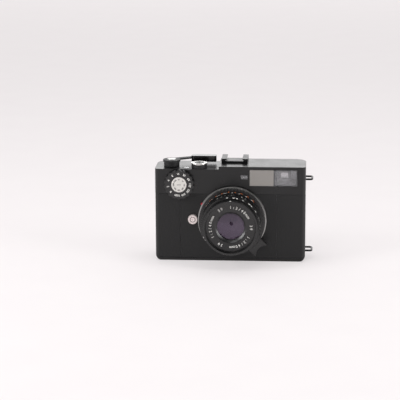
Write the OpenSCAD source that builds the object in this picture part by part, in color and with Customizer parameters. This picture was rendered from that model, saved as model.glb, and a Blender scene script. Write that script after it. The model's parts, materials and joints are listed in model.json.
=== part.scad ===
/* [Body] */
// Width of the body without the strap loops
body_w = 115.6; // [112:0.2:124]
// Depth of the body, front face to rear face
body_d = 32; // [31.6:0.2:35]
// Height of the lower deck
deck_h = 72.2; // [71:0.2:74]
// Height of the raised finder housing
finder_h = 74.4; // [73.4:0.2:77]
// Height of the seam between covered body and top cover
seam_z = 53; // [52.6:0.1:54]
// Place of the step between lower deck and finder housing
step_x = -8.7; // [-12:0.1:-8.5]
// Radius of the upright front corners
front_r = 3; // [1.5:0.5:4]
// Radius of the upright rear corners
rear_r = 9; // [6:0.5:12]
// Radius of the lower corners seen from the front
base_r = 4.5; // [3:0.5:6]
// Wall of the covers
wall = 1.2; // [1:0.1:1.6]
// Thickness of the grained covering
skin_t = 0.8; // [0.6:0.1:1.2]
// Thickness of the base plate
base_t = 2.2; // [2:0.1:3]
// Gap where two covers meet
seam_gap = 0.2; // [0.1:0.05:0.3]

/* [Lens] */
// Lens axis from the middle of the body
lens_x = 1.8; // [0:0.1:4]
// Height of the lens axis
lens_z = 33.2; // [32.6:0.1:33.4]
// Distance from flange face to film
register = 27.8; // [27.8:0.1:28.2]
// How far the flange stands in front of the body
flange_out = 1.6; // [1.4:0.1:2]
// Radius of the body flange
flange_r = 26; // [25.6:0.1:26.4]
// Radius of the focusing ring over its grips
focus_r = 25.4; // [25:0.1:25.8]
// Radius of the depth scale ring
scale_r = 22.1; // [21:0.1:22.4]
// Radius of the aperture ring over its two grips
aperture_r = 22.7; // [22.2:0.1:23]
// Radius of the front rim
rim_r = 20.8; // [20.6:0.1:21.4]
// Bore of the filter thread
filter_r = 19.25; // [19:0.05:20]
// Length of the filter thread
thread_l = 3.8; // [3:0.1:4.5]
// Radius of the clear front opening
front_open_r = 12.3; // [11.6:0.1:13]
// Radius of the front glass that shows inside its sloping retainer
glass_r = 10.3; // [9:0.1:11]
// Travel of the barrel from far to near
focus_travel = 2.1; // [1.5:0.1:2.4]
// Angle of a closed iris blade
blade_closed = 37.4; // [30:0.1:37.4]
// Running clearance on a radius
run = 0.08; // [0.04:0.01:0.1]

/* [Top controls] */
// Advance lever pivot from the left end
advance_in = 12.2; // [12:0.1:14]
// Radius of the advance lever disc
advance_r = 6.7; // [6:0.1:7]
// Height of the advance lever over the deck
advance_h = 5.3; // [4.6:0.1:6]
// Release button from the left end
release_in = 33.8; // [33:0.1:35]
// Radius of the release collar
collar_r = 6.3; // [6:0.05:6.5]
// Travel of the release button
release_travel = 2; // [1:0.1:2.5]
// Speed dial from the left end
dial_in = 18.9; // [18:0.1:21]
// Height of the speed dial axis
dial_z = 60.8; // [60.4:0.1:61.4]
// Radius of the speed dial
dial_r = 11.4; // [10.5:0.1:12]
// Thickness of the speed dial
dial_t = 3.8; // [3:0.1:4.5]

/* [Finder] */
// Left edge of the long front window from the right end
window_in = 42.9; // [42:0.1:43.5]
// Right edge of the long front window from the right end
window_out = 6.4; // [6:0.1:8]
// Lower edge of the long front window
window_z0 = 59.5; // [59:0.1:61]
// Upper edge of the long front window
window_z1 = 72; // [70:0.1:72.2]
// Middle of the accessory shoe
shoe_x = 2.75; // [2:0.05:3.5]
// Inner width of the accessory shoe
shoe_w = 18.7; // [18.6:0.05:18.9]
// Length of the accessory shoe
shoe_l = 18; // [16:0.5:18.5]

/* [Hidden] */
$fn = 64;

hw = body_w/2;
hd = body_d/2;
skin_out = 0.1;
core_in = skin_out + skin_t;
flange_s = hd + flange_out;
seat_s = hd - core_in;
film_y = register - flange_s;
gate_w = 36;
gate_h = 24;

// Upright outline of the body, moved in by i all round.
module plan(i = 0) {
    x = hw - i;
    y = hd - i;
    f = max(front_r - i, 0.3);
    b = max(rear_r - i, 0.3);
    translate([-x, -y + f]) square([2*x, 2*y - f - b]);
    translate([-x + f, -y]) square([2*(x - f), f + 1]);
    translate([-x + b, y - b - 1]) square([2*(x - b), b + 1]);
    for (s = [-1, 1]) {
        translate([s*(x - f), -y + f]) circle(f);
        translate([s*(x - b), y - b]) circle(b);
    }
}

// Front view outline with the rounded lower corners, moved in by i.
module elevation(i = 0) {
    translate([-hw + i, base_r]) square([2*(hw - i), finder_h]);
    translate([-hw + base_r, i]) square([2*(hw - base_r), base_r]);
    for (s = [-1, 1]) translate([s*(hw - base_r), base_r]) circle(base_r - i);
}
module shaped(i = 0) intersection() {
    children();
    translate([0, body_d, 0]) rotate([90, 0, 0]) linear_extrude(2*body_d) elevation(i);
}

module slab(z0, z1, i) translate([0, 0, z0]) linear_extrude(z1 - z0) plan(i);
module box(x0, x1, y0, y1, z0, z1) translate([x0, y0, z0]) cube([x1 - x0, y1 - y0, z1 - z0]);
// Stands its children on the front: local z counts forward from the middle of the body.
module front(x, z, s = 0) translate([x, -s, z]) rotate([90, 0, 0]) children();
module lens(s = 0) front(lens_x, lens_z, s) children();
module ring(s0, s1, ro, ri) lens(s0) linear_extrude(s1 - s0) difference() {
    circle(ro);
    if (ri > 0) circle(ri);
}
module rod(x, y, z0, z1, r) translate([x, y, z0]) cylinder(r = r, h = z1 - z0);
module rounded(x0, x1, y0, y1, r) {
    translate([x0 + r, y0]) square([x1 - x0 - 2*r, y1 - y0]);
    translate([x0, y0 + r]) square([x1 - x0, y1 - y0 - 2*r]);
    for (x = [x0 + r, x1 - r], y = [y0 + r, y1 - r]) translate([x, y]) circle(r);
}
// Sector of a ring between two radii, in degrees from a0 to a1.
module sector(ri, ro, a0, a1) intersection() {
    difference() { circle(ro); circle(ri); }
    polygon(concat([[0, 0]], [for (k = [0:6]) let (a = a0 + (a1 - a0)*k/6)
        [1.5*ro*cos(a), 1.5*ro*sin(a)]]));
}

// Places shared by several pieces.
left_x = -hw + advance_in;
advance_y = -4.6;
spool_x = -hw + 13;
spool_y = -3;
release_x = -hw + release_in;
release_y = -hd + 6.4;
dial_x = -hw + dial_in;
cassette_x = hw - 15.3;
cassette_y = -1;
cassette_r = 13.2;
spool_r = 6.5;
take_up_r = 11.2;
window_x0 = hw - window_in;
window_x1 = hw - window_out;
window_mid = window_x0 + 18.7;
range_x = window_x0 - 4.2;
range_z = 66.2;
eye_x = window_x1 - 10.5;
eye_z = 62.6;
gate_x = lens_x;
gear_m = 0.5;
gear_z = seam_z + 2;
gear_t = 1.5;
core_z0 = base_t + seam_gap;
floor_z = core_z0 + 1.2;
core_z1 = seam_z;
lid_z = core_z1 + 3.2;
split_y = 7;
back_y1 = hd - core_in;
sprocket_x = spool_x + 19;
sprocket_y = film_y - 5.8;
sprocket_r = 5.9;
lever_z = deck_h + advance_h;
key_x = 20;
box_z1 = core_z1 - 2;
mount_s = flange_s;
pin_r = 0.9;
pin_out = 23.6;
release_btn_x = lens_x - flange_r - 4.4;
counter_x = left_x + 12.2;
counter_y = -7;
counter_r = 6.1;
shoe_y0 = hd - 0.5 - shoe_l;
finder_in_z = finder_h - wall;
deck_in_z = deck_h - wall;

// Idler between the lever gear and the sprocket gear.
t_lever = 36;
t_idler = 20;
t_sprocket = 13;
d_a = gear_m*(t_lever + t_idler)/2;
d_b = gear_m*(t_idler + t_sprocket)/2;
run_x = sprocket_x - left_x;
run_y = sprocket_y - advance_y;
d_c = sqrt(run_x*run_x + run_y*run_y);
turn_c = atan2(run_y, run_x) - acos((d_a*d_a + d_c*d_c - d_b*d_b)/(2*d_a*d_c));
idler_x = left_x + d_a*cos(turn_c);
idler_y = advance_y + d_a*sin(turn_c);
turn_b = atan2(sprocket_y - idler_y, sprocket_x - idler_x);

// Spur gear with plain tapered teeth, first tooth at angle a.
module gear(n, a = 0) {
    r = gear_m*n/2;
    step = 360/n;
    w0 = 0.21*step;
    w1 = 0.09*step;
    rotate(a) union() {
        circle(r - 1.15*gear_m);
        for (k = [0:n - 1]) rotate(k*step) polygon([
            [r - 1.4*gear_m, -(r - 1.15*gear_m)*sin(w0)*1.15],
            [r + 0.85*gear_m, -(r + 0.85*gear_m)*sin(w1)],
            [r + 0.85*gear_m, (r + 0.85*gear_m)*sin(w1)],
            [r - 1.4*gear_m, (r - 1.15*gear_m)*sin(w0)*1.15]]);
    }
}

// --- Covers and chassis ---

module top_cover() color("#26262a") difference() {
    union() {
        slab(seam_z, deck_h, 0);
        intersection() {
            slab(seam_z, finder_h, 0);
            box(step_x, hw + 1, -body_d, body_d, seam_z, finder_h);
        }
    }
    slab(seam_z - 1, deck_in_z, wall);
    intersection() {
        slab(seam_z - 1, finder_in_z, wall);
        box(step_x + wall, hw + 1, -body_d, body_d, seam_z - 1, finder_h);
    }
    lens(seat_s - 2) cylinder(r = flange_r + 0.2, h = 6);
    box(window_x0, window_x1, -hd - 1, -hd + wall + 1, window_z0, window_z1);
    box(range_x - 2.65, range_x + 2.65, -hd - 1, -hd + wall + 1, range_z - 1.65, range_z + 1.65);
    box(eye_x - 5, eye_x + 5, hd - wall - 1, hd + 1, eye_z - 4, eye_z + 4);
    front(dial_x, dial_z, hd - wall - 1) cylinder(r = 2, h = wall + 2);
    rod(left_x, advance_y, deck_in_z - 1, deck_h + 1, 2.6);
    rod(release_x, release_y, deck_in_z - 1, deck_h + 1, 3.5);
    rod(counter_x, counter_y - 3.8, deck_in_z - 1, deck_h + 1, 2.1);
    for (y = [-5.5, 5.5]) translate([hw - wall - 1, y, 63]) rotate([0, 90, 0])
        cylinder(r = 0.75, h = wall + 2);
}

module core_void() {
    x = hw - core_in - wall;
    box(-x, x, -seat_s + wall, body_d, floor_z, core_z1 - 2);
}

module chassis() color("#8d8f92") shaped(core_in) difference() {
    union() {
        difference() {
            union() {
                intersection() {
                    slab(core_z0, core_z1, core_in);
                    box(-hw, hw, -hd, split_y - seam_gap, 0, finder_h);
                }
                intersection() {
                    slab(core_z0 + 0.01, core_z1 - 0.01, core_in + wall + 0.15);
                    box(-hw, hw, -hd, hd - 3.2, 0, finder_h);
                }
            }
            core_void();
        }
        difference() {
            slab(core_z1 - 1, core_z1 + 1.4, wall + 0.1);
            slab(core_z1, core_z1 + 2, 2*wall + 0.1);
            box(-hw, hw, 0, hd, core_z1, core_z1 + 2);
            box(-hw, hw, split_y - seam_gap, hd, core_z1 - 2, core_z1 + 2);
        }
        lens(seat_s - 1.6) cylinder(r = flange_r - 0.1, h = 1.6);
        // Light box between lens and film gate.
        difference() {
            box(gate_x - 19.7, gate_x + 19.7, -seat_s + 1, film_y, floor_z - 0.5, core_z1 - 1);
            box(gate_x - 18.7, gate_x + 18.7, -seat_s, film_y - 1.4, floor_z + 4, box_z1);
            box(gate_x - gate_w/2, gate_x + gate_w/2, 0, film_y + 1, lens_z - gate_h/2,
                lens_z + gate_h/2);
        }
        // Film rails.
        for (z = [-17.6, 15.9]) box(gate_x - 19.7, gate_x + 24, film_y - 1.4, film_y + 0.25,
            lens_z + z, lens_z + z + 1.6);
        // Cassette chamber wall.
        intersection() {
            rod(cassette_x, cassette_y, floor_z - 0.5, lid_z, cassette_r + 1);
            slab(0, finder_h, wall + 0.1);
            box(-hw, hw, -hd, cassette_y + 5, 0, finder_h);
        }
        rod(idler_x, idler_y, core_z1 - 1, gear_z + gear_t + 0.6, 1.1);
        rod(left_x, advance_y, core_z1 - 1, gear_z - 0.15, 3.4);
    }
    rod(cassette_x, cassette_y, floor_z + 4, core_z1 + 2, cassette_r);
    difference() {
        box(cassette_x - cassette_r, cassette_x + 8, cassette_y + 2, hd, floor_z + 4, core_z1 - 2);
        box(gate_x - 25, gate_x + 25, 0, hd, 0, finder_h);
    }
    rod(cassette_x, cassette_y, 0, floor_z + 5, 11.7);
    lens(seat_s - 3.2) cylinder(r = 22.6, h = 8);
    rod(0, 0, 0, floor_z + 3.4, 5.4);
    rod(left_x, advance_y, core_z1 + 0.4, core_z1 + 4, 2.1 + run);
    rod(spool_x, spool_y, core_z1 - 3, core_z1, 2.1 + run);
    rod(spool_x, spool_y, core_z0 - 1, floor_z + 1, 1.42 + run);
    rod(sprocket_x, sprocket_y, 0, core_z1 + 1, 1.5 + run);
    // Slot for the lock cam and holes for the lens release.
    translate([key_x, 0, core_z0 - 1]) linear_extrude(4) square([10, 5], center = true);
    rod(key_x, 0, floor_z, floor_z + 2.8, 5.6);
    front(release_btn_x, lens_z, seat_s - 4) cylinder(r = 2.2, h = 6);
    front(lens_x - pin_out, lens_z, seat_s - 4) cylinder(r = 1.6, h = 6);
    front(lens_x - 25, lens_z, seat_s - 4) translate([-9, -4, -6]) cube([13.2, 8, 8.4]);
    for (y = [-5.5, 5.5]) translate([hw - core_in - wall - 1, y, 6.5]) rotate([0, 90, 0])
        cylinder(r = 0.75, h = wall + 2);
}

module covering_shape() shaped(skin_out) difference() {
    intersection() {
        slab(core_z0, seam_z - 0.15, skin_out);
        box(-hw, hw, -hd, split_y - seam_gap, 0, finder_h);
    }
    slab(0, finder_h, core_in);
    lens(seat_s - 1) cylinder(r = flange_r + 0.3, h = 4);
    front(release_btn_x, lens_z, seat_s - 1) cylinder(r = 3.95, h = 4);
    for (y = [-5.5, 5.5]) translate([hw - 3, y, 6.5]) rotate([0, 90, 0]) cylinder(r = 1.1, h = 4);
}
seam_l = -hw + 19.4;
seam_r = hw - 22.1;
module covering(x0, x1) intersection() {
    covering_shape();
    box(x0, x1, -hd - 1, hd + 1, 0, finder_h);
}
module front_covering() color("#1b1b1d") covering(seam_l + 0.1, seam_r - 0.1);
module left_covering() color("#1b1b1d") covering(-hw - 1, seam_l - 0.1);
module right_covering() color("#1b1b1d") covering(seam_r + 0.1, hw + 1);

module back_shell() color("#202124") difference() {
    union() {
        shaped(0.2) slab(0, base_t, 0.2);
        shaped(core_in) intersection() {
            difference() {
                slab(base_t - 0.5, seam_z - seam_gap, core_in);
                slab(base_t - 1, seam_z, core_in + wall);
            }
            box(-hw, hw, split_y, hd, 0, finder_h);
        }
        rod(cassette_x, cassette_y, 0.01, 5.2, 11.3);
    }
    rod(0, 0, -1, base_t + 1, 5);
    rod(key_x, 0, -1, 1.3, 7.6);
    rod(key_x, 0, -1, base_t + 1, 2.5);
    rod(cassette_x, cassette_y, -1, 4.2, 10.3);
    rod(cassette_x, cassette_y, -1, 6, 3.1);
}
module back_covering() color("#1b1b1d") shaped(skin_out) difference() {
    intersection() {
        slab(core_z0, seam_z - seam_gap, skin_out);
        box(-hw, hw, split_y, hd, 0, finder_h);
    }
    slab(0, finder_h, core_in);
}

module accessory_shoe() color("#b9babd") {
    translate([shoe_x, shoe_y0, finder_h]) {
        w = shoe_w/2;
        box(-w - 0.8, w + 0.8, 0, shoe_l, 0, 0.6);
        for (s = [-1, 1]) {
            box(min(s*w, s*(w + 0.8)), max(s*w, s*(w + 0.8)), 0, shoe_l, 0, 3.4);
            box(min(s*(w + 0.8), s*(w - 3.3)), max(s*(w + 0.8), s*(w - 3.3)), 0, shoe_l, 2.6, 3.4);
        }
        box(-w, w, 0, 0.8, 0, 1.6);
    }
}
module shoe_spring() color("#9a9b9e") for (s = [-1, 1]) {
    x0 = shoe_x + s*(shoe_w/2 - 0.05);
    x1 = shoe_x + s*(shoe_w/2 - 2.4);
    box(min(x0, x1), max(x0, x1), shoe_y0 + 1, shoe_y0 + shoe_l - 2, finder_h + 2.3, finder_h + 2.6);
    box(min(x0, x1), max(x0, x1), shoe_y0 - 0.3, shoe_y0, finder_h + 1.2, finder_h + 3.4);
}

// --- Finder ---

module illumination_window() color("#6f7376")
    box(window_x0 + 0.1, window_mid - 0.3, -hd + 0.2, -hd + wall + 0.2, window_z0 + 0.1,
        window_z1 - 0.1);
module viewfinder_window() color("#2b3440")
    box(window_mid + 0.3, window_x1 - 0.1, -hd + 0.2, -hd + wall + 0.2, window_z0 + 0.1,
        window_z1 - 0.1);
module rangefinder_window() color("#2b3440")
    box(range_x - 2.55, range_x + 2.55, -hd + 0.2, -hd + wall + 0.2, range_z - 1.55, range_z + 1.55);
finder_y0 = -hd + wall + 0.2;
finder_y1 = hd - wall - 1.6;
module finder_frame() color("#141416") difference() {
    union() {
        box(range_x - 3.6, window_x1 + 1.2, finder_y0, finder_y1, seam_z + 3.4, finder_in_z - 0.2);
        box(window_mid - 0.15, window_mid + 0.15, -hd + 0.3, finder_y0, window_z0 + 0.1, window_z1 - 0.1);
        rod(range_x + 4, 6, seam_z, seam_z + 4, 2.5);
        rod(window_mid, 0, lid_z, seam_z + 4, 2.5);
        rod(window_mid, -8, lid_z, seam_z + 4, 2.5);
        box(eye_x - 6, eye_x + 6, finder_y1 - 1, hd - wall - 0.1, eye_z - 5, eye_z + 5);
    }
    lens(seat_s - 2) cylinder(r = flange_r + 0.1, h = 6);
    // Rangefinder and frame line chamber.
    box(range_x - 2.6, window_mid - 1, finder_y0 + 2, finder_y1 - 6, window_z0, window_z1 - 0.6);
    box(range_x - 2, range_x + 2, finder_y0 - 1, finder_y0 + 3, range_z - 1.2, range_z + 1.2);
    box(window_x0 + 0.8, window_mid - 1, finder_y0 - 1, finder_y0 + 3, window_z0 + 0.8, window_z1 - 0.8);
    box(window_mid - 3, window_mid + 3, -6, 2, range_z - 3, range_z + 3);
    // View tunnel.
    box(window_mid + 0.9, window_x1 - 0.8, finder_y0 - 1, finder_y1 - 3, window_z0 + 0.6, window_z1 - 0.7);
    box(eye_x - 2.9, eye_x + 2.9, finder_y1 - 4, hd, eye_z - 2.1, eye_z + 2.1);
}
module finder_mirrors() color("#a8b4c0") {
    translate([range_x + 1.2, -4, window_z0]) rotate(45)
        box(-4.2, 4.2, -0.4, 0.4, 0, window_z1 - window_z0 - 0.6);
    translate([window_mid + 7.6, -4, window_z0 + 0.6]) rotate(45)
        box(-7, 7, -0.3, 0.3, 0, window_z1 - window_z0 - 1.3);
}
module eyepiece_frame() color("#1c1c1e") difference() {
    union() {
        box(eye_x - 8, eye_x + 8, hd, hd + 1.3, eye_z - 5.5, eye_z + 5.5);
        box(eye_x - 4.9, eye_x + 4.9, hd - wall - 0.1, hd, eye_z - 3.9, eye_z + 3.9);
    }
    box(eye_x - 3.6, eye_x + 3.6, 0, hd + 2, eye_z - 2.8, eye_z + 2.8);
}
module eyepiece_lens() color("#b9c6cf")
    box(eye_x - 3.6, eye_x + 3.6, hd - 0.6, hd + 0.6, eye_z - 2.8, eye_z + 2.8);

// --- Top plate pieces ---

module counter_window() color("#c9ced2") rod(counter_x, counter_y - 3.8, deck_h - 1, deck_h + 0.15, 2.1);
module counter_dial() color("#e8e8e4") {
    rod(counter_x, counter_y, deck_in_z - 1.3, deck_in_z - 0.3, counter_r);
    rod(counter_x, counter_y, deck_in_z - 4, deck_in_z - 1.3, 1.4);
}
module strap_loop(z, x0) {
    w = 0.75;
    r = 1.8;
    x1 = hw + 5.6 - w;
    y = 5.5;
    for (s = [-1, 1]) {
        translate([x0, s*y, z]) rotate([0, 90, 0]) cylinder(r = w, h = x1 - r - x0);
        translate([x1 - r, s*(y - r), z]) rotate(s > 0 ? 0 : -90) rotate_extrude(angle = 90)
            translate([r, 0]) circle(w, $fn = 32);
    }
    translate([x1, -y + r, z]) rotate([-90, 0, 0]) cylinder(r = w, h = 2*(y - r));
}
module strap_loops() color("#8f9093") {
    strap_loop(63, hw - wall);
    strap_loop(6.5, hw - core_in - wall);
}

module release_collar() color("#161618") difference() {
    rod(release_x, release_y, deck_h, deck_h + 3, collar_r - 0.4);
    rod(release_x, release_y, deck_h - 1, deck_h + 4, 3.5);
}
module release_ring() color("#c8c8cb") difference() {
    rod(release_x, release_y, deck_h + 3, deck_h + 4.2, collar_r);
    rod(release_x, release_y, deck_h + 1, deck_h + 5, 3.5);
    translate([release_x, release_y, deck_h + 4.2]) cylinder(r1 = 4.6, r2 = 5.2, h = 0.6, center = true);
}
module release_button() color("#202022") difference() {
    union() {
        rod(release_x, release_y, deck_h - 3, deck_h + 4.4, 3.4);
        rod(release_x, release_y, gear_z + gear_t + 2.5, deck_h - 3, 1.2);
    }
    rod(release_x, release_y, deck_h + 0.4, deck_h + 5, 1.5);
}

module advance_hub() color("#161618") difference() {
    rod(left_x, advance_y, deck_h + 0.2, lever_z - 1.6, advance_r - 0.7);
    rod(left_x, advance_y, deck_h - 1, lever_z, 2.5);
}
module advance_lever() color("#8f8f93") {
    x1 = release_x - 0.5;
    translate([left_x, advance_y, lever_z - 1.6]) linear_extrude(1.6) difference() {
        circle(advance_r);
        circle(2.5);
    }
    translate([0, 0, lever_z - 1.3]) linear_extrude(1.3) difference() {
        union() {
            polygon([[left_x + 2, advance_y + 6.3], [left_x + 6, advance_y + 3.2],
                [x1 - 6, 4.4], [x1 + 8, 4.4], [x1 + 8, 8.6], [x1 - 6.5, 8.6]]);
            translate([x1 + 8, 6.5]) circle(2.1);
        }
        translate([left_x, advance_y]) circle(advance_r - 0.5);
    }
}
module lever_tip() color("#0c0c0d") difference() {
    x0 = release_x - 7;
    translate([0, 0, lever_z - 3.4]) linear_extrude(4.7) rounded(x0, x0 + 19.4, 3, 10, 1.6);
    x1 = release_x - 0.5;
    translate([0, 0, lever_z - 1.3]) linear_extrude(1.3) union() {
        translate([x0 - 1, 4.4]) square([x1 + 8 - x0 + 1, 4.2]);
        translate([x1 + 8, 6.5]) circle(2.1);
        polygon([[left_x + 2, advance_y + 6.3], [left_x + 6, advance_y + 3.2],
            [x1 - 6, 4.4], [x1 - 6.5, 8.6]]);
    }
}
module advance_shaft() color("#b5b6b9") {
    rod(left_x, advance_y, core_z1 + 0.6, lever_z, 2.1);
    rod(left_x, advance_y, deck_h + 0.2, lever_z, 2.5);
    rod(left_x, advance_y, lever_z, lever_z + 0.4, 3.4);
    translate([left_x, advance_y, gear_z]) linear_extrude(gear_t) gear(t_lever, turn_c);
}

// --- Film drive, shutter and meter ---

idler_a = turn_c + 180 + 180/t_idler;
near_tooth = idler_a + 360/t_idler*round((turn_b - idler_a)*t_idler/360) - turn_b;
sprocket_a = turn_b + 180 + 180/t_sprocket - near_tooth*t_idler/t_sprocket;

module idler_gear() color("#a98f52") translate([idler_x, idler_y, gear_z])
    linear_extrude(gear_t) difference() {
        gear(t_idler, idler_a);
        circle(1.1 + run);
    }
module film_sprocket() color("#9b9ca0") {
    z0 = lens_z - 14.1;
    z1 = lens_z + 14.1;
    rod(sprocket_x, sprocket_y, core_z0 + 0.2, gear_z, 1.5);
    rod(sprocket_x, sprocket_y, z0 - 3.4, z1 + 3.4, 4.6);
    for (z = [z0, z1]) translate([sprocket_x, sprocket_y, z - 1.2]) {
        cylinder(r = sprocket_r - 0.3, h = 2.4);
        for (k = [0:7]) rotate(45*k) translate([0, -0.7, 0.5]) cube([sprocket_r + 0.5, 1.4, 1.4]);
    }
    translate([sprocket_x, sprocket_y, gear_z]) linear_extrude(gear_t) gear(t_sprocket, sprocket_a);
}
module take_up_spool() color("#2a2a2c") difference() {
    union() {
        rod(spool_x, spool_y, core_z0 + 0.2, core_z1 - 1.8, 1.42);
        rod(spool_x, spool_y, lens_z + 17, core_z1 - 0.2, 2.1);
        rod(spool_x, spool_y, lens_z - 17, lens_z + 17.4, spool_r);
        for (z = [-17.4, 16.7]) rod(spool_x, spool_y, lens_z + z, lens_z + z + 0.7, take_up_r - 0.6);
    }
    for (k = [0:5]) translate([spool_x, spool_y, lens_z - 15.5]) rotate(60*k)
        translate([spool_r - 1.5, -0.8, 0]) cube([3, 1.6, 31]);
}
module pressure_plate() color("#1d1d1f")
    translate([0, film_y + 1.45, 0]) rotate([90, 0, 0]) linear_extrude(1.2)
        rounded(gate_x - 20.5, gate_x + 23.5, lens_z - 16.5, lens_z + 16.5, 2);

shutter_y = film_y - 6.6;
roll_y = film_y - 3.6;
roll_r = 1.9;
roll_z = 15.5;
module shutter_frame() color("#55565a") difference() {
    union() {
        box(gate_x - 18.7, gate_x + 18.7, shutter_y, shutter_y + 0.8, floor_z + 4, box_z1);
        for (s = [-1, 1]) box(gate_x + min(s*17.8, s*18.7), gate_x + max(s*17.8, s*18.7), shutter_y,
            film_y - 1.4, floor_z + 4, box_z1);
        front(gate_x - 14, lens_z - 19.5, -shutter_y) cylinder(r = 0.9, h = 9);
    }
    box(gate_x - gate_w/2 - 0.5, gate_x + gate_w/2 + 0.5 - 1.2, shutter_y - 1, shutter_y + 0.9,
        lens_z - gate_h/2 - 0.5, lens_z + gate_h/2 + 0.5);
    for (z = [-roll_z, roll_z]) translate([gate_x - 20, roll_y, lens_z + z]) rotate([0, 90, 0])
        cylinder(r = 0.8 + run, h = 40);
}
module roller(z) {
    translate([gate_x - 17.6, roll_y, z]) rotate([0, 90, 0]) cylinder(r = roll_r, h = 35.2);
    translate([gate_x - 18.6, roll_y, z]) rotate([0, 90, 0]) cylinder(r = 0.8, h = 37.2);
}
module upper_roller() color("#8b8c90") roller(lens_z + roll_z);
module lower_roller() color("#8b8c90") roller(lens_z - roll_z);
module shutter_curtain() color("#111112")
    box(gate_x - 17.2, gate_x + 17.2, roll_y - roll_r - 0.2, roll_y - roll_r - 0.05, lens_z - 16.5,
        lens_z + 16.5);
module meter_arm() color("#6d6e72") front(gate_x - 14, lens_z - 19.5, 3.0) {
    linear_extrude(0.7) difference() {
        union() {
            circle(2.6);
            rotate(atan2(19.5, 14)) translate([0, -1.2]) square([21, 2.4]);
            translate([14, 19.5]) circle(4);
        }
        circle(0.9 + run);
    }
    translate([14, 19.5, 0.7]) cylinder(r = 3.2, h = 1);
}

// --- Speed dial, base and back fittings ---

dial_s = hd + 0.25;
module speed_dial() color("#101011") front(dial_x, dial_z, 0) difference() {
    union() {
        translate([0, 0, dial_s]) linear_extrude(dial_t) difference() {
            circle(dial_r);
            for (k = [0:17]) rotate(20*k) translate([dial_r + 0.9, 0]) circle(1.5);
        }
        translate([0, 0, hd - 4.5]) cylinder(r = 2 - run, h = 6);
    }
    translate([0, 0, dial_s + dial_t - 1.2]) cylinder(r = 5.9, h = 3);
}
module film_speed_disc() color("#a9a9ab") front(dial_x, dial_z, dial_s + dial_t - 1.2)
    cylinder(r = 5.9 - run, h = 1.7);

module tripod_bush() color("#b7b8bb") difference() {
    rod(0, 0, 0, floor_z + 2.6, 5);
    rod(0, 0, -1, 5.2, 2.6);
}
module lock_key() color("#b7b8bb") translate([key_x, 0, 0]) {
    rod(0, 0, 0.25, 1.2, 7.4);
    box(-6, 6, -0.9, 0.9, 0.05, 0.3);
    rod(0, 0, 1.2, floor_z + 0.4, 2.5 - run);
    translate([0, 0, floor_z + 0.4 + 0.45]) cube([9.4, 4.2, 0.9], center = true);
}
module rewind_fork() color("#9fa0a3") translate([cassette_x, cassette_y, 0]) difference() {
    union() {
        rod(0, 0, 2.5, 4, 9.9);
        rod(0, 0, 4, floor_z + 8.4, 3.1 - run);
        for (s = [-1, 1]) box(-8.4, -5.6, min(s*2.6, s*3.8), max(s*2.6, s*3.8), 0.7, 2.5);
        translate([-7, 3, 1.45]) rotate([90, 0, 0]) cylinder(r = 0.35, h = 6);
    }
    box(-4, 4, -0.8, 0.8, floor_z + 6.2, floor_z + 9);
}
module rewind_crank() color("#b7b8bb") translate([cassette_x, cassette_y, 0]) difference() {
    union() {
        translate([0, 0, 0.8]) linear_extrude(1.3) rounded(-7.7, 7.6, -2.5, 2.5, 0.6);
        rod(5.2, 0, 0.15, 0.8, 2.2);
    }
    translate([-7, 5, 1.45]) rotate([90, 0, 0]) cylinder(r = 0.35 + run, h = 10);
}

// --- Lens mount and lens ---

m0 = mount_s;
guide_r = 17;
thread_s = m0 + 24.6;
module claws(r0, r1, s0, s1, half) lens(s0) linear_extrude(s1 - s0)
    for (a = [45:90:315]) sector(r0, r1, a - half, a + half);

module bayonet_flange() color("#c2c3c6") difference() {
    union() {
        ring(seat_s, m0, flange_r, 22);
        claws(20.3, 22.2, seat_s, seat_s + 1.2, 17);
    }
    front(lens_x - pin_out, lens_z, seat_s - 1) cylinder(r = pin_r + run, h = 5);
}
module lens_lock_pin() color("#9b9ca0") {
    front(lens_x - pin_out, lens_z, seat_s - 2.5) cylinder(r = pin_r, h = m0 + 1.1 - seat_s + 2.5);
    front(release_btn_x, lens_z, seat_s - 3.5) linear_extrude(1) rounded(-2.4, 8.6, -2.8, 2.8, 1);
}
module lens_release_button() color("#b9a9a6") front(release_btn_x, lens_z, 0) {
    translate([0, 0, seat_s - 2.5]) cylinder(r = 2.1, h = hd + 0.5 - seat_s + 2.5);
    translate([0, 0, hd + 0.5]) cylinder(r = 3.7, h = 2.3);
}
module lens_mount() color("#a9aaad") difference() {
    union() {
        ring(m0, m0 + 2.3, flange_r + 0.2, guide_r);
        ring(seat_s - 1.5, m0, 20, guide_r + 1.4);
        ring(m0 + 2.3, m0 + 10.2, guide_r + 1.2, guide_r);
        claws(19.5, 21.8, seat_s - 1.5, seat_s - 0.1, 16);
    }
    lens(seat_s - 3) cylinder(r = guide_r + 0.001, h = 3);
    front(lens_x - pin_out, lens_z, m0 - 1) cylinder(r = pin_r + run, h = 2.2);
    bead(24.4, 30);
}
module bead(r0, r1) lens(m0 + 1.15) rotate([0, 0, 152]) rotate([0, 90, 0]) translate([0, 0, r0])
    cylinder(r = 0.9, h = r1 - r0);
module red_bead() color("#a3262a") bead(24.4, flange_r + 1.2);

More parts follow.
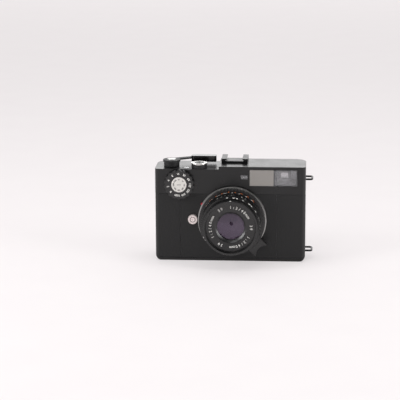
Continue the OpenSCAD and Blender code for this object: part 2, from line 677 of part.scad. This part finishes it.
module flutes(r, cut, step, a0, a1) for (a = [a0:step:a1]) rotate(a) translate([r, 0]) circle(cut, $fn = 24);
module focus_ring() color("#121213") {
    lens(m0 + 2.45) linear_extrude(4.5) difference() {
        circle(focus_r);
        circle(guide_r + 1.2 + run);
        flutes(focus_r + 0.3, 0.95, 5.8, 66, 114);
        flutes(focus_r + 0.3, 0.95, 5.8, 210, 258);
    }
    ring(m0 + 6.95, m0 + 10.8, 23.4, guide_r + 1.2 + run);
}
module focus_tab() color("#121213") lens(m0 + 2.8) linear_extrude(3.8) difference() {
    rotate(-45) translate([24.4, -6.5]) square([7.4, 13]);
    circle(focus_r);
    rotate(-45) translate([37.6, 0]) circle(8.2);
}
module lens_barrel() color("#0f0f10") lens(0) rotate_extrude() polygon([
    [guide_r - run, m0 - 3.4], [guide_r - run, m0 + 11.1], [scale_r, m0 + 11.1], [scale_r, m0 + 14.8],
    [17.6, m0 + 14.8], [17.6, m0 + 22.3], [front_open_r, m0 + 22.3], [front_open_r, m0 + 13.3],
    [9.8, m0 + 13.3], [9.8, m0 + 12.6], [15.5, m0 + 12.6], [15.5, m0 + 10.6], [9.8, m0 + 10.6],
    [9.8, m0 + 1.4], [8.8, m0 + 1.4], [8.8, m0 - 3.4]]);
module aperture_ring() color("#121213") {
    ring(m0 + 14.95, m0 + 22.1, aperture_r - 0.7, 17.6 + run);
    lens(m0 + 18.8) linear_extrude(3.3) difference() {
        union() {
            sector(20, aperture_r, 112, 200);
            sector(20, aperture_r, 292, 344);
        }
        flutes(aperture_r + 0.2, 0.45, 4, 114, 198);
        flutes(aperture_r + 0.2, 0.45, 4, 294, 342);
    }
}
module filter_ring() color("#0f0f10") {
    ring(m0 + 22.3, m0 + 23, rim_r, front_open_r + 0.2);
    ring(m0 + 23, thread_s, rim_r, filter_r - 0.4);
    ring(thread_s, thread_s + thread_l, rim_r, filter_r);
}
module name_ring() color("#141415") lens(0) rotate_extrude() polygon([
    [front_open_r - 0.3, m0 + 23], [filter_r - 0.5, m0 + 23], [filter_r - 0.5, m0 + 24.2],
    [front_open_r + 0.2, m0 + 23.7], [front_open_r - 0.3, m0 + 23.5], [glass_r, m0 + 22.3],
    [glass_r, m0 + 22], [front_open_r - 0.3, m0 + 22.6]]);
module front_element() color("#6a5a80") lens(0) intersection() {
    translate([0, 0, m0 + 15]) cylinder(r = front_open_r, h = 10);
    translate([0, 0, m0 + 23.4 - 30]) sphere(30, $fn = 128);
}
module rear_element() color("#6a5a80") ring(m0 - 3, m0 + 1.4, 8.8, 0);

// Blade k of the iris, closed, pivoting near the rim of its chamber.
module iris_blade(k) color("#3b3b3e") lens(m0 + 10.8 + 0.25*k) rotate(60*k)
    translate([12.4, 0, 0]) rotate(blade_closed) translate([-12.4, 0, 0]) {
        linear_extrude(0.1) difference() {
            sector(9.2, 15.1, -4, 80);
            translate([12.4, 0]) circle(0.5);
        }
    }
module iris_blade_1() iris_blade(0);
module iris_blade_2() iris_blade(1);
module iris_blade_3() iris_blade(2);
module iris_blade_4() iris_blade(3);
module iris_blade_5() iris_blade(4);
module iris_blade_6() iris_blade(5);

top_cover();
chassis();
front_covering();
left_covering();
right_covering();
bayonet_flange();
lens_lock_pin();
lens_release_button();
accessory_shoe();
shoe_spring();
illumination_window();
viewfinder_window();
rangefinder_window();
finder_frame();
finder_mirrors();
eyepiece_frame();
eyepiece_lens();
counter_window();
counter_dial();
strap_loops();
shutter_frame();
shutter_curtain();
upper_roller();
lower_roller();
meter_arm();
film_sprocket();
idler_gear();
take_up_spool();
pressure_plate();
speed_dial();
film_speed_disc();
release_button();
release_collar();
release_ring();
advance_hub();
advance_lever();
lever_tip();
advance_shaft();
back_shell();
back_covering();
tripod_bush();
lock_key();
rewind_fork();
rewind_crank();
lens_mount();
red_bead();
focus_ring();
focus_tab();
lens_barrel();
aperture_ring();
filter_ring();
name_ring();
front_element();
rear_element();
iris_blade_1();
iris_blade_2();
iris_blade_3();
iris_blade_4();
iris_blade_5();
iris_blade_6();
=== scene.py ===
# %% [markdown]
# A black rangefinder camera for 35 mm film: its measured solids are loaded as they are,
# and each is given the finish that the real piece has. Numbers, scales and dots, which a
# maker would engrave and fill with paint, are added as thin pieces of their own.

# %% Load the measured camera
import json
import math

import bpy
from mathutils import Matrix, Vector


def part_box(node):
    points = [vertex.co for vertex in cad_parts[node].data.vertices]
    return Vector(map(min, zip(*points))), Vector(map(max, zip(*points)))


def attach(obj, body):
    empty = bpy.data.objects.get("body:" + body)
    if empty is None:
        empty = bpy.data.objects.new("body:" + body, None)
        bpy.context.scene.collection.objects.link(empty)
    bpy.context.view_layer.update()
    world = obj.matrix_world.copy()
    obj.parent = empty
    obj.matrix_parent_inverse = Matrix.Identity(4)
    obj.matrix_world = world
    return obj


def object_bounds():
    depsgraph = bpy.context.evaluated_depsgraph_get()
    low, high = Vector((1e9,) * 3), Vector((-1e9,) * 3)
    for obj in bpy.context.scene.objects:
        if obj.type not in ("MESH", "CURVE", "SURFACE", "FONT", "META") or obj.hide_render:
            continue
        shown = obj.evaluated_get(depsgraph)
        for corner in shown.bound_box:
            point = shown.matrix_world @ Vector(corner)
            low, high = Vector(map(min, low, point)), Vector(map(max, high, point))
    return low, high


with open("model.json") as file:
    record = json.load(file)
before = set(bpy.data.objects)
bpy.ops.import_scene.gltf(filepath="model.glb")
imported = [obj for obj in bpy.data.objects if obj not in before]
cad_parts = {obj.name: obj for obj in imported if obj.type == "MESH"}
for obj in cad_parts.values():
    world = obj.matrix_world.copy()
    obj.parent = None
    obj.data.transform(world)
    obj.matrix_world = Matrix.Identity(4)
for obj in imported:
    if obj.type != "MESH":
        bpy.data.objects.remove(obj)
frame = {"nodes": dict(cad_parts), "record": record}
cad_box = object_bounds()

MM = 0.001
nodes = frame["nodes"]
print("loaded", len(nodes), "solids,", [round((b - a) / MM, 1) for a, b in zip(*cad_box)], "mm")

# %% [markdown]
# Three helpers serve every finish. Colours are written as the hex codes a paint chart gives
# and turned to linear light; `add` puts one node in a tree with its settings and its links.

# %% Colour, node and material helpers
def linear(code):
    parts = [int(code[i:i + 2], 16) / 255 for i in (1, 3, 5)]
    return [c / 12.92 if c <= 0.04045 else ((c + 0.055) / 1.055) ** 2.4 for c in parts] + [1.0]


def add(tree, kind, inputs=None, **settings):
    node = tree.nodes.new(kind)
    for name, value in settings.items():
        setattr(node, name, value)
    for name, value in (inputs or {}).items():
        if isinstance(value, bpy.types.NodeSocket):
            tree.links.new(value, node.inputs[name])
        else:
            node.inputs[name].default_value = value
    return node


def start_finish(name, **settings):
    finish = bpy.data.materials.new(name)
    finish.use_nodes = True
    tree = finish.node_tree
    tree.nodes.clear()
    shader = add(tree, "ShaderNodeBsdfPrincipled", settings)
    add(tree, "ShaderNodeOutputMaterial", {"Surface": shader.outputs[0]})
    place = add(tree, "ShaderNodeTexCoord").outputs["Object"]
    return finish, tree, shader, place


def size_mm(millimetres):
    """The texture scale whose features are this many millimetres across."""
    return 1 / (millimetres * MM)


# %% [markdown]
# Nearly all finishes vary a little: polish is uneven, paint has orange peel, and handling
# leaves a film. One function spreads the colour between two close tones, the roughness
# between two values, and adds a fine bump, each at a size in millimetres.

# %% A function that gives a finish its unevenness
def uneven(finish, tones, rough, patch_mm=9, grain_mm=0.4, height_mm=0.004, strength=0.3):
    material, tree, shader, place = finish
    patch = add(tree, "ShaderNodeTexNoise",
                {"Vector": place, "Scale": size_mm(patch_mm), "Detail": 4.0, "Roughness": 0.6})
    tone = add(tree, "ShaderNodeMix", {0: patch.outputs["Fac"], 6: linear(tones[0]),
                                       7: linear(tones[1])}, data_type="RGBA")
    tree.links.new(tone.outputs[2], shader.inputs["Base Color"])
    shine = add(tree, "ShaderNodeMapRange", {"Value": patch.outputs["Fac"], "From Min": 0.3,
                                             "From Max": 0.7, "To Min": rough[0], "To Max": rough[1]})
    tree.links.new(shine.outputs[0], shader.inputs["Roughness"])
    grain = add(tree, "ShaderNodeTexNoise",
                {"Vector": place, "Scale": size_mm(grain_mm), "Detail": 2.0})
    bump = add(tree, "ShaderNodeBump", {"Height": grain.outputs["Fac"], "Strength": strength,
                                        "Distance": height_mm * MM})
    tree.links.new(bump.outputs[0], shader.inputs["Normal"])
    return material


finishes = {}

# %% [markdown]
# Black enamel: paint sprayed on brass and baked. It is smooth with a faint orange peel, so
# it takes a soft reflection, bright where the eye skims along the top.

# %% Baked black enamel
finishes["black_enamel"] = uneven(
    start_finish("baked_black_enamel", IOR=1.5), ("#0b0b0c", "#101011"), (0.26, 0.34),
    grain_mm=0.7, height_mm=0.006, strength=0.2)

# %% [markdown]
# Grained covering: vinyl pressed on a roller that leaves fine pebbles 0.3 mm wide. They
# are drawn 0.6 mm wide here, because finer ones would be lost at this distance.

# %% Pressed vinyl covering
material, tree, shader, place = start_finish("pressed_vinyl_grain", IOR=1.5, Roughness=0.56)
pebble = add(tree, "ShaderNodeTexVoronoi", {"Vector": place, "Scale": size_mm(0.75)})
speck = add(tree, "ShaderNodeTexNoise", {"Vector": place, "Scale": size_mm(0.5), "Detail": 3.0})
tone = add(tree, "ShaderNodeMix", {0: speck.outputs["Fac"], 6: linear("#09090a"),
                                   7: linear("#19191a")}, data_type="RGBA")
tree.links.new(tone.outputs[2], shader.inputs["Base Color"])
relief = add(tree, "ShaderNodeBump", {"Height": pebble.outputs["Distance"], "Strength": 0.55,
                                      "Distance": 0.1 * MM}, invert=True)
tree.links.new(relief.outputs[0], shader.inputs["Normal"])
finishes["grained_covering"] = material

# %% [markdown]
# Metals: satin chrome plate on the lens flange and release ring, turned and brushed steel
# on small fittings, gear brass, and the raw die casting of the chassis.

# %% Chrome, steel, brass and casting
finishes["polished_chrome"] = uneven(
    start_finish("satin_chrome_plate", Metallic=1.0), ("#d6d5d2", "#e4e3e0"), (0.1, 0.16),
    grain_mm=0.5, height_mm=0.002)
finishes["satin_steel"] = uneven(
    start_finish("brushed_steel", Metallic=1.0), ("#a9a9a8", "#bebdbb"), (0.28, 0.38),
    grain_mm=0.3, height_mm=0.004)
finishes["gear_brass"] = uneven(
    start_finish("hobbed_brass", Metallic=1.0), ("#b08d4a", "#c9a65c"), (0.3, 0.42))
finishes["die_cast_alloy"] = uneven(
    start_finish("die_cast_aluminium", Metallic=1.0), ("#77787b", "#8e8f92"), (0.45, 0.6),
    grain_mm=0.8, height_mm=0.02)

# %% [markdown]
# Black finishes on small parts: anodised aluminium on the lens rings, matt paint inside
# the finder, polished plastic on the lever tip, and rubbered shutter cloth.

# %% Anodised, blackened, moulded and woven blacks
finishes["black_anodised"] = uneven(
    start_finish("black_anodised_aluminium", IOR=1.6), ("#0c0c0d", "#111112"), (0.24, 0.32),
    grain_mm=0.3, height_mm=0.003)
finishes["blackened_metal"] = uneven(
    start_finish("matt_blackened_metal", IOR=1.5), ("#101011", "#18181a"), (0.5, 0.62))
finishes["black_plastic"] = uneven(
    start_finish("polished_black_plastic", IOR=1.49), ("#0a0a0a", "#0e0e0e"), (0.12, 0.18),
    grain_mm=1.5, height_mm=0.004)
finishes["curtain_cloth"] = uneven(
    start_finish("rubbered_shutter_cloth", IOR=1.5), ("#0a0a0a", "#121212"), (0.75, 0.85),
    grain_mm=0.3, height_mm=0.03, strength=0.8)
finishes["white_plastic"] = uneven(
    start_finish("moulded_white_plastic", IOR=1.49), ("#d8d6d0", "#e2e0da"), (0.4, 0.5))
finishes["red_plastic"] = uneven(
    start_finish("moulded_red_plastic", IOR=1.49), ("#a3152a", "#b81f35"), (0.15, 0.22))

# %% [markdown]
# Glass and windows: clear panes, silvered mirrors, a frosted pane ground on its back that
# lights the frame lines, and the coated front lens, whose coating reflects violet.

# %% Panes, mirrors and coated glass
finishes["clear_glass"] = uneven(
    start_finish("polished_clear_glass", IOR=1.5, **{"Transmission Weight": 0.9}),
    ("#f2f2f6", "#f7f7fa"), (0.0, 0.02), strength=0.0)
finishes["frosted_window"] = uneven(
    start_finish("ground_back_acrylic", IOR=1.49, **{"Coat Weight": 0.6, "Coat Roughness": 0.05}),
    ("#8a8682", "#928e8a"), (0.5, 0.6), grain_mm=0.3, height_mm=0.01)
finishes["silvered_glass"] = uneven(
    start_finish("silvered_mirror", Metallic=1.0), ("#c4ccd4", "#ccd3da"), (0.03, 0.06))
finishes["coated_glass"] = uneven(
    start_finish("coated_optical_glass", IOR=1.5,
                 **{"Transmission Weight": 1.0, "Specular Tint": linear("#bfa4cc")}),
    ("#ebe5ec", "#f1ecf2"), (0.0, 0.01), strength=0.0)

# %% Special finishes of single pieces
dial_silver = uneven(
    start_finish("matt_silver_anodised", Metallic=0.35), ("#d2cfca", "#efede9"), (0.45, 0.6),
    patch_mm=0.9, grain_mm=0.6, height_mm=0.03)
button_silver = uneven(
    start_finish("polished_aluminium_button", Metallic=0.6), ("#e6d9d7", "#efe4e2"), (0.25, 0.35))
blade_steel = uneven(
    start_finish("blued_steel_blades", Metallic=0.5), ("#5c5b60", "#737178"), (0.35, 0.45),
    patch_mm=2, grain_mm=0.5, height_mm=0.01)
half_silvered = uneven(
    start_finish("half_silvered_beam_splitter", IOR=1.5, **{"Transmission Weight": 0.85}),
    ("#e6e4e0", "#efedea"), (0.0, 0.02), strength=0.0)
black_chrome = uneven(
    start_finish("black_chromed_brass", Metallic=0.5), ("#171717", "#222223"), (0.3, 0.42))
special = {"film_speed_disc": dial_silver, "lens_release_button": button_silver,
           "finder_mirrors": half_silvered, "strap_loops": black_chrome,
           "accessory_shoe": black_chrome, "shoe_spring": black_chrome, "advance_lever": finishes["blackened_metal"]}
special.update({f"iris_blade_{k}": blade_steel for k in range(1, 7)})

slot_of = {part["node"]: part["material_slot"] for part in frame["record"]["subparts"]}
for name, solid in nodes.items():
    solid.data.materials.clear()
    solid.data.materials.append(special.get(name) or finishes[slot_of[name]])
print("finished", len(nodes), "solids with", len(finishes) + 5, "finishes")

# %% [markdown]
# No edge on a real camera is perfectly sharp: sheet covers are drawn over a form and turned
# rings are broken with a tool. A small bevel catches the light as those edges do. Weld and
# dissolve come first, so that the bevel meets whole faces, and a node group then marks
# which edges stay crisp.

# %% Break the edges
crisp = bpy.data.node_groups.new("crisp_edges", "GeometryNodeTree")
crisp.interface.new_socket("Geometry", in_out="INPUT", socket_type="NodeSocketGeometry")
crisp.interface.new_socket("Geometry", in_out="OUTPUT", socket_type="NodeSocketGeometry")
solid_in = add(crisp, "NodeGroupInput")
smooth = add(crisp, "GeometryNodeSetShadeSmooth", {"Geometry": solid_in.outputs[0]}, domain="FACE")
turn = add(crisp, "GeometryNodeInputMeshEdgeAngle")
steep = add(crisp, "FunctionNodeCompare", {0: turn.outputs[0], 1: math.radians(40)},
            data_type="FLOAT", operation="GREATER_THAN")
sharp = add(crisp, "GeometryNodeSetShadeSmooth", {"Geometry": smooth.outputs[0],
            "Selection": steep.outputs[0], "Shade Smooth": False}, domain="EDGE")
add(crisp, "NodeGroupOutput", {0: sharp.outputs[0]})

edge_mm = {"top_cover": 0.5, "back_shell": 0.4, "lens_mount": 0.75, "bayonet_flange": 0.15,
           "focus_ring": 0.25, "lens_barrel": 0.2, "aperture_ring": 0.35, "filter_ring": 0.5,
           "name_ring": 0.12, "focus_tab": 0.4, "speed_dial": 0.3, "film_speed_disc": 0.15,
           "release_collar": 0.25, "release_ring": 0.25, "release_button": 0.4,
           "advance_hub": 0.25, "advance_lever": 0.25, "lever_tip": 0.7, "advance_shaft": 0.2,
           "accessory_shoe": 0.2, "lens_release_button": 0.5, "eyepiece_frame": 0.4,
           "lock_key": 0.3, "rewind_crank": 0.3, "rewind_fork": 0.15, "tripod_bush": 0.2,
           "front_covering": 0.15, "left_covering": 0.15, "right_covering": 0.15,
           "back_covering": 0.15, "red_bead": 0.35, "shoe_spring": 0.1}
for name, width in edge_mm.items():
    solid = nodes[name]
    weld = solid.modifiers.new("weld", "WELD")
    weld.merge_threshold = 0.002 * MM
    flat = solid.modifiers.new("whole_faces", "DECIMATE")
    flat.decimate_type = "DISSOLVE"
    flat.angle_limit = math.radians(0.3)
    bevel = solid.modifiers.new("broken_edge", "BEVEL")
    bevel.width = width * MM
    bevel.segments = 2
    bevel.limit_method = "ANGLE"
    bevel.angle_limit = math.radians(38)
    bevel.use_clamp_overlap = True
    solid.modifiers.new("crisp", "NODES").node_group = crisp
    evener = solid.modifiers.new("even_normals", "WEIGHTED_NORMAL")
    evener.keep_sharp = True
print("broke the edges of", len(edge_mm), "solids")

# %% [markdown]
# The numbers on a real camera are engraved and filled with paint. Here each scale is built
# from Blender's own letters, turned to meshes and bent onto its ring or disc, and it stands
# only 0.03 mm proud, so that it reads as paint.

# %% Axes and a letter maker
LENS = Vector((1.8, 0, 33.2))
DIAL = Vector((-38.9, 0, 60.8))


def letters(text, height):
    """Flat triangles of a text, centred, in mm, its capitals `height` tall."""
    curve = bpy.data.curves.new("letters", "FONT")
    curve.body = text
    curve.size = height / 0.7
    curve.offset = 0.035 * height
    curve.align_x = "CENTER"
    curve.align_y = "CENTER"
    curve.resolution_u = 3
    carrier = bpy.data.objects.new("letters", curve)
    bpy.context.scene.collection.objects.link(carrier)
    bpy.context.view_layer.update()
    mesh = bpy.data.meshes.new_from_object(carrier.evaluated_get(bpy.context.evaluated_depsgraph_get()))
    points = [(v.co.x, v.co.y) for v in mesh.vertices]
    faces = [tuple(p.vertices) for p in mesh.polygons]
    bpy.data.objects.remove(carrier)
    bpy.data.curves.remove(curve)
    bpy.data.meshes.remove(mesh)
    return points, faces


def strip(width, height):
    """A plain painted bar, in mm, cut along its length so that it can bend."""
    count = max(1, int(width / 0.8))
    points = [(width * (i / count - 0.5), y) for i in range(count + 1) for y in (-height / 2, height / 2)]
    return points, [(2 * i, 2 * i + 2, 2 * i + 3, 2 * i + 1) for i in range(count)]


def dot(radius):
    points = [(radius * math.cos(math.tau * k / 16), radius * math.sin(math.tau * k / 16)) for k in range(16)]
    return points, [tuple(range(16))]


def paint(name, marks, body, finish):
    """One piece from many (shape, place) marks; `place` takes a mark's (x, y) to space, in mm."""
    verts, faces = [], []
    for (points, shapes), place in marks:
        first = len(verts)
        verts += [Vector(place(x, y)) * MM for x, y in points]
        faces += [tuple(first + i for i in shape) for shape in shapes]
    mesh = bpy.data.meshes.new(name)
    mesh.from_pydata(verts, [], faces)
    mesh.materials.append(finish)
    piece = bpy.data.objects.new(name, mesh)
    bpy.context.scene.collection.objects.link(piece)
    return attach(piece, body)


def on_face(axis, forward, radius, degrees, outward=True):
    """Marks on a flat face in front of the axis, their tops outward from it or towards it."""
    sign = 1 if outward else -1

    def place(x, y):
        r = radius + sign * y
        a = math.radians(degrees) - sign * x / radius
        return axis.x + r * math.cos(a), -forward, axis.z + r * math.sin(a)
    return place


def on_ring(axis, forward, radius, degrees):
    """Marks round the outside of a ring, their tops towards the front."""
    def place(x, y):
        a = math.radians(degrees) + x / radius
        return axis.x + radius * math.cos(a), -forward - y, axis.z + radius * math.sin(a)
    return place


# %% Fill paints
paints = {}
for paint_name, tones in {"white": ("#dddcd8", "#efeeea"), "orange": ("#cf6a3a", "#dc7c48"),
                          "black": ("#101010", "#1a1a1a"), "red": ("#b3202c", "#c42a34")}.items():
    paints[paint_name] = uneven(start_finish(f"{paint_name}_engraving_paint", IOR=1.5), tones,
                                (0.5, 0.6), patch_mm=1.5, grain_mm=0.3)

# %% [markdown]
# The lens carries four scales: distances in feet and metres on the focusing ring, depth of
# field lines on the barrel, apertures on their ring, and the focal length and widest
# aperture, which every lens states, on the ring round the glass.

# %% Scales of the lens
feet = ["3", "3.5", "4", "5", "6", "8", "10", "15", "30"]
metres = ["0.9", "1", "1.2", "1.5", "2", "3", "5", "10"]
focus_radius = (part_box("focus_ring")[1].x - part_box("focus_ring")[0].x) / 2 / MM
print("focus ring radius", round(focus_radius, 2), "mm")
feet_marks = [(letters(t, 1.7), on_ring(LENS, 25.6, 23.43, 146 - 12.5 * k)) for k, t in enumerate(feet)]
metre_marks = [(letters(t, 1.5), on_ring(LENS, 27.5, 23.43, 143 - 13.5 * k)) for k, t in enumerate(metres)]
paint("feet_scale", feet_marks, "focus", paints["orange"])
paint("metre_scale", metre_marks, "focus", paints["white"])

depth_marks = [(dot(0.45), on_ring(LENS, 29.4, 22.13, 90))]
for k, t in enumerate(["2", "4", "8", "16"]):
    for turn in (-5 - 8 * k, 5 + 8 * k):
        depth_marks.append((strip(0.22, 0.9), on_ring(LENS, 29.3, 22.13, 90 + turn)))
        if k > 1:
            depth_marks.append((letters(t, 0.9), on_ring(LENS, 30.9, 22.13, 90 + turn)))
paint("depth_scale", depth_marks, "barrel", paints["white"])

stops = ["2", "2.8", "4", "5.6", "8", "11", "16"]
stop_marks = [(letters(t, 2.5), on_ring(LENS, 38.0, 22.03, 97.5 - 16.4 * k)) for k, t in enumerate(stops)]
paint("aperture_scale", stop_marks, "aperture", paints["white"])

name_radius = 15.45
name_y = -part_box("name_ring")[0].y / MM
lens_words = "1:2/40mm  39  1:2/40mm  39  1:2/40mm  39  "
name_marks = [(letters(c, 2.0), on_face(LENS, name_y + 0.02, name_radius, 90 - k * 360 / len(lens_words)))
              for k, c in enumerate(lens_words) if c != " "]
paint("lens_data", name_marks, "barrel", paints["white"])

# %% [markdown]
# A small dot on the lens rim says which number counts. The round lens release has a turned
# groove, whose shade is painted as a thin dark ring on the button's flat face.

# %% Index dot on the lens rim and the painted shade of the release groove
def annulus(inner, outer):
    points = [(r * math.cos(math.tau * k / 48), r * math.sin(math.tau * k / 48))
              for k in range(48) for r in (inner, outer)]
    return points, [(2 * k, 2 * k + 1, (2 * k + 3) % 96, (2 * k + 2) % 96) for k in range(48)]


rim_radius = (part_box("filter_ring")[1].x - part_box("filter_ring")[0].x) / 2 / MM
paint("rim_dot", [(dot(0.75), on_ring(LENS, 44.2, rim_radius + 0.03, 90))], "barrel", paints["white"])
button_low, button_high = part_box("lens_release_button")
button_centre = (button_low + button_high) / 2 / MM
button_face = -button_low.y / MM + 0.03
# Painted shade: a flat dark ring stands for the shadow inside the button's turned groove.
paint("release_groove_painted_shade", [(annulus(1.75, 2.15), lambda x, y: (button_centre.x + x, -button_face, button_centre.z + y))],
      "lens_release", finishes["blackened_metal"])
print("filter rim radius", round(rim_radius, 2), "mm, release face at", round(button_face, 2), "mm")

# %% [markdown]
# The speed dial is black with white numbers: fractions of a second as whole numbers, and B
# for a shutter held open. The film speed disc, in matt silver, turns inside it.

# %% Numbers of the shutter dial and the film speed disc
dial_front = -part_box("speed_dial")[0].y / MM + 0.03
speeds = ["B", "2", "4", "8", "15", "30", "60", "125", "250", "500", "1000"]
speed_marks = [(letters(t, 1.5), on_face(DIAL, dial_front, 8.4, 222 - 32 * k))
               for k, t in enumerate(speeds)]
paint("shutter_speeds", speed_marks, "dial", paints["white"])
disc_front = -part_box("film_speed_disc")[0].y / MM + 0.03
film_marks = [(letters(t, 0.95), on_face(DIAL, disc_front, 4.1, 90 - 45 * k))
              for k, t in enumerate(["25", "50", "100", "200", "400", "800", "1600", "3200"])]
film_marks.append((strip(3.0, 0.35), lambda x, y: (DIAL.x + x, -disc_front, DIAL.z + y)))
paint("film_speeds", film_marks, "film_speed", paints["black"])

# %% [markdown]
# The frame counter is a black disc under a small window, with white numbers by twos.

# %% Frame counter numbers
counter_low, counter_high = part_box("counter_dial")
counter_centre = (counter_low + counter_high) / 2 / MM


def on_counter(degrees, radius):
    def place(x, y):
        r = radius - y
        a = math.radians(degrees) + x / radius
        return counter_centre.x + r * math.cos(a), counter_centre.y + r * math.sin(a), counter_high.z / MM + 0.03
    return place


count_marks = [(letters(str(2 * k), 0.9), on_counter(-90 - 18 * k, 4.3)) for k in range(0, 19, 2)]
paint("frame_numbers", count_marks, "counter", paints["white"])

# %% [markdown]
# The studio: a pale floor, a big soft box above, a light behind that skims the top plates,
# and strips at the sides for the chrome. The camera stands 1.3 m away, as for a product
# picture, because a long lens keeps round rings round.

# %% Camera
azimuth, elevation, roll = math.radians(4.17), math.radians(13.13), math.radians(-0.26)
towards = Vector((math.sin(azimuth) * math.cos(elevation),
                  -math.cos(azimuth) * math.cos(elevation), math.sin(elevation)))
target = Vector((-24.24, 0, 44.36)) * MM
right = Vector((math.cos(azimuth), math.sin(azimuth), 0))
up = towards.cross(right)
tilted_right = right * math.cos(roll) + up * math.sin(roll)
tilted_up = up * math.cos(roll) - right * math.sin(roll)
lens_data = bpy.data.cameras.new("studio_camera")
lens_data.sensor_width = 36
lens_data.lens = 150.53
lens_data.clip_start = 0.01
camera = bpy.data.objects.new("studio_camera", lens_data)
bpy.context.scene.collection.objects.link(camera)
camera.matrix_world = Matrix.Translation(target + towards * 1.3) @ Matrix(
    (tilted_right, tilted_up, towards)).transposed().to_4x4()
bpy.context.scene.camera = camera

# %% Floor
floor_mesh = bpy.data.meshes.new("studio_floor")
floor_z = cad_box[0][2]
floor_mesh.from_pydata([(x, y, floor_z) for x, y in ((-3, -2.5), (3, -2.5), (3, 6), (-3, 6))], [], [(0, 1, 2, 3)])
floor = bpy.data.objects.new("studio_floor", floor_mesh)
bpy.context.scene.collection.objects.link(floor)
card = bpy.data.materials.new("pale_card")
card.use_nodes = True
tree = card.node_tree
tree.nodes.clear()
path = add(tree, "ShaderNodeLightPath").outputs
place = add(tree, "ShaderNodeTexCoord").outputs["Object"]
fibre = add(tree, "ShaderNodeTexNoise", {"Vector": place, "Scale": size_mm(40)})
tone = add(tree, "ShaderNodeMix", {0: fibre.outputs["Fac"], 6: linear("#dcd7d8"),
                                   7: linear("#e1dddd")}, data_type="RGBA")
matt = add(tree, "ShaderNodeBsdfDiffuse", {"Color": tone.outputs[2]})
glow = add(tree, "ShaderNodeEmission", {"Color": linear("#fbf7f8"), "Strength": 1.0})
direct = add(tree, "ShaderNodeMath", {0: path["Is Camera Ray"], 1: path["Is Glossy Ray"]}, operation="MAXIMUM")
seen = add(tree, "ShaderNodeMath", {0: direct.outputs[0], 1: path["Is Transmission Ray"]}, operation="MAXIMUM")
share = add(tree, "ShaderNodeMath", {0: seen.outputs[0], 1: 0.5}, operation="MULTIPLY")
pale = add(tree, "ShaderNodeMixShader", {0: share.outputs[0], 1: matt.outputs[0], 2: glow.outputs[0]})
add(tree, "ShaderNodeOutputMaterial", {"Surface": pale.outputs[0]})
floor_mesh.materials.append(card)

# %% Backdrop and the light of the room
world = bpy.data.worlds.new("studio_room")
world.use_nodes = True
tree = world.node_tree
tree.nodes.clear()
path = add(tree, "ShaderNodeLightPath").outputs
direction = add(tree, "ShaderNodeTexCoord").outputs["Generated"]
parts = add(tree, "ShaderNodeSeparateXYZ", {"Vector": direction})
front_dark = add(tree, "ShaderNodeMapRange", {"Value": parts.outputs["Y"], "From Min": -0.75, "From Max": -0.1,
                                              "To Min": 0.1, "To Max": 0.85})
white = add(tree, "ShaderNodeBackground", {"Color": linear("#fdf9fa"), "Strength": 1.0})
room = add(tree, "ShaderNodeBackground", {"Color": linear("#f8f6f6"), "Strength": front_dark.outputs[0]})
seen = add(tree, "ShaderNodeMath", {0: path["Is Camera Ray"], 1: path["Is Transmission Ray"]}, operation="MAXIMUM")
both = add(tree, "ShaderNodeMixShader", {0: seen.outputs[0], 1: room.outputs[0], 2: white.outputs[0]})
add(tree, "ShaderNodeOutputWorld", {"Surface": both.outputs[0]})
bpy.context.scene.world = world


# %% Soft lights
def soft_box(name, position, aim, width, height, watts):
    data = bpy.data.lights.new(name, "AREA")
    data.shape = "RECTANGLE"
    data.size, data.size_y, data.energy = width, height, watts
    lamp = bpy.data.objects.new(name, data)
    bpy.context.scene.collection.objects.link(lamp)
    lamp.location = position
    lamp.rotation_euler = (Vector(aim) - Vector(position)).to_track_quat("-Z", "Y").to_euler()
    return lamp


soft_box("overhead", (0, 0.0, 1.0), (0, 0, 0), 1.0, 0.8, 3.4)
soft_box("behind", (0, 2.4, 0.9), (0, 0, 0.05), 2.6, 1.1, 12.4)
soft_box("front", (-0.35, -1.0, 0.95), (0, 0, 0.04), 0.5, 0.5, 2.2)
soft_box("left", (-0.8, -0.45, 0.45), (0, 0, 0.05), 0.3, 0.7, 4.5)
soft_box("right", (0.85, -0.4, 0.4), (0, 0, 0.05), 0.3, 0.7, 4.5)
bpy.context.scene.view_settings.view_transform = "Standard"
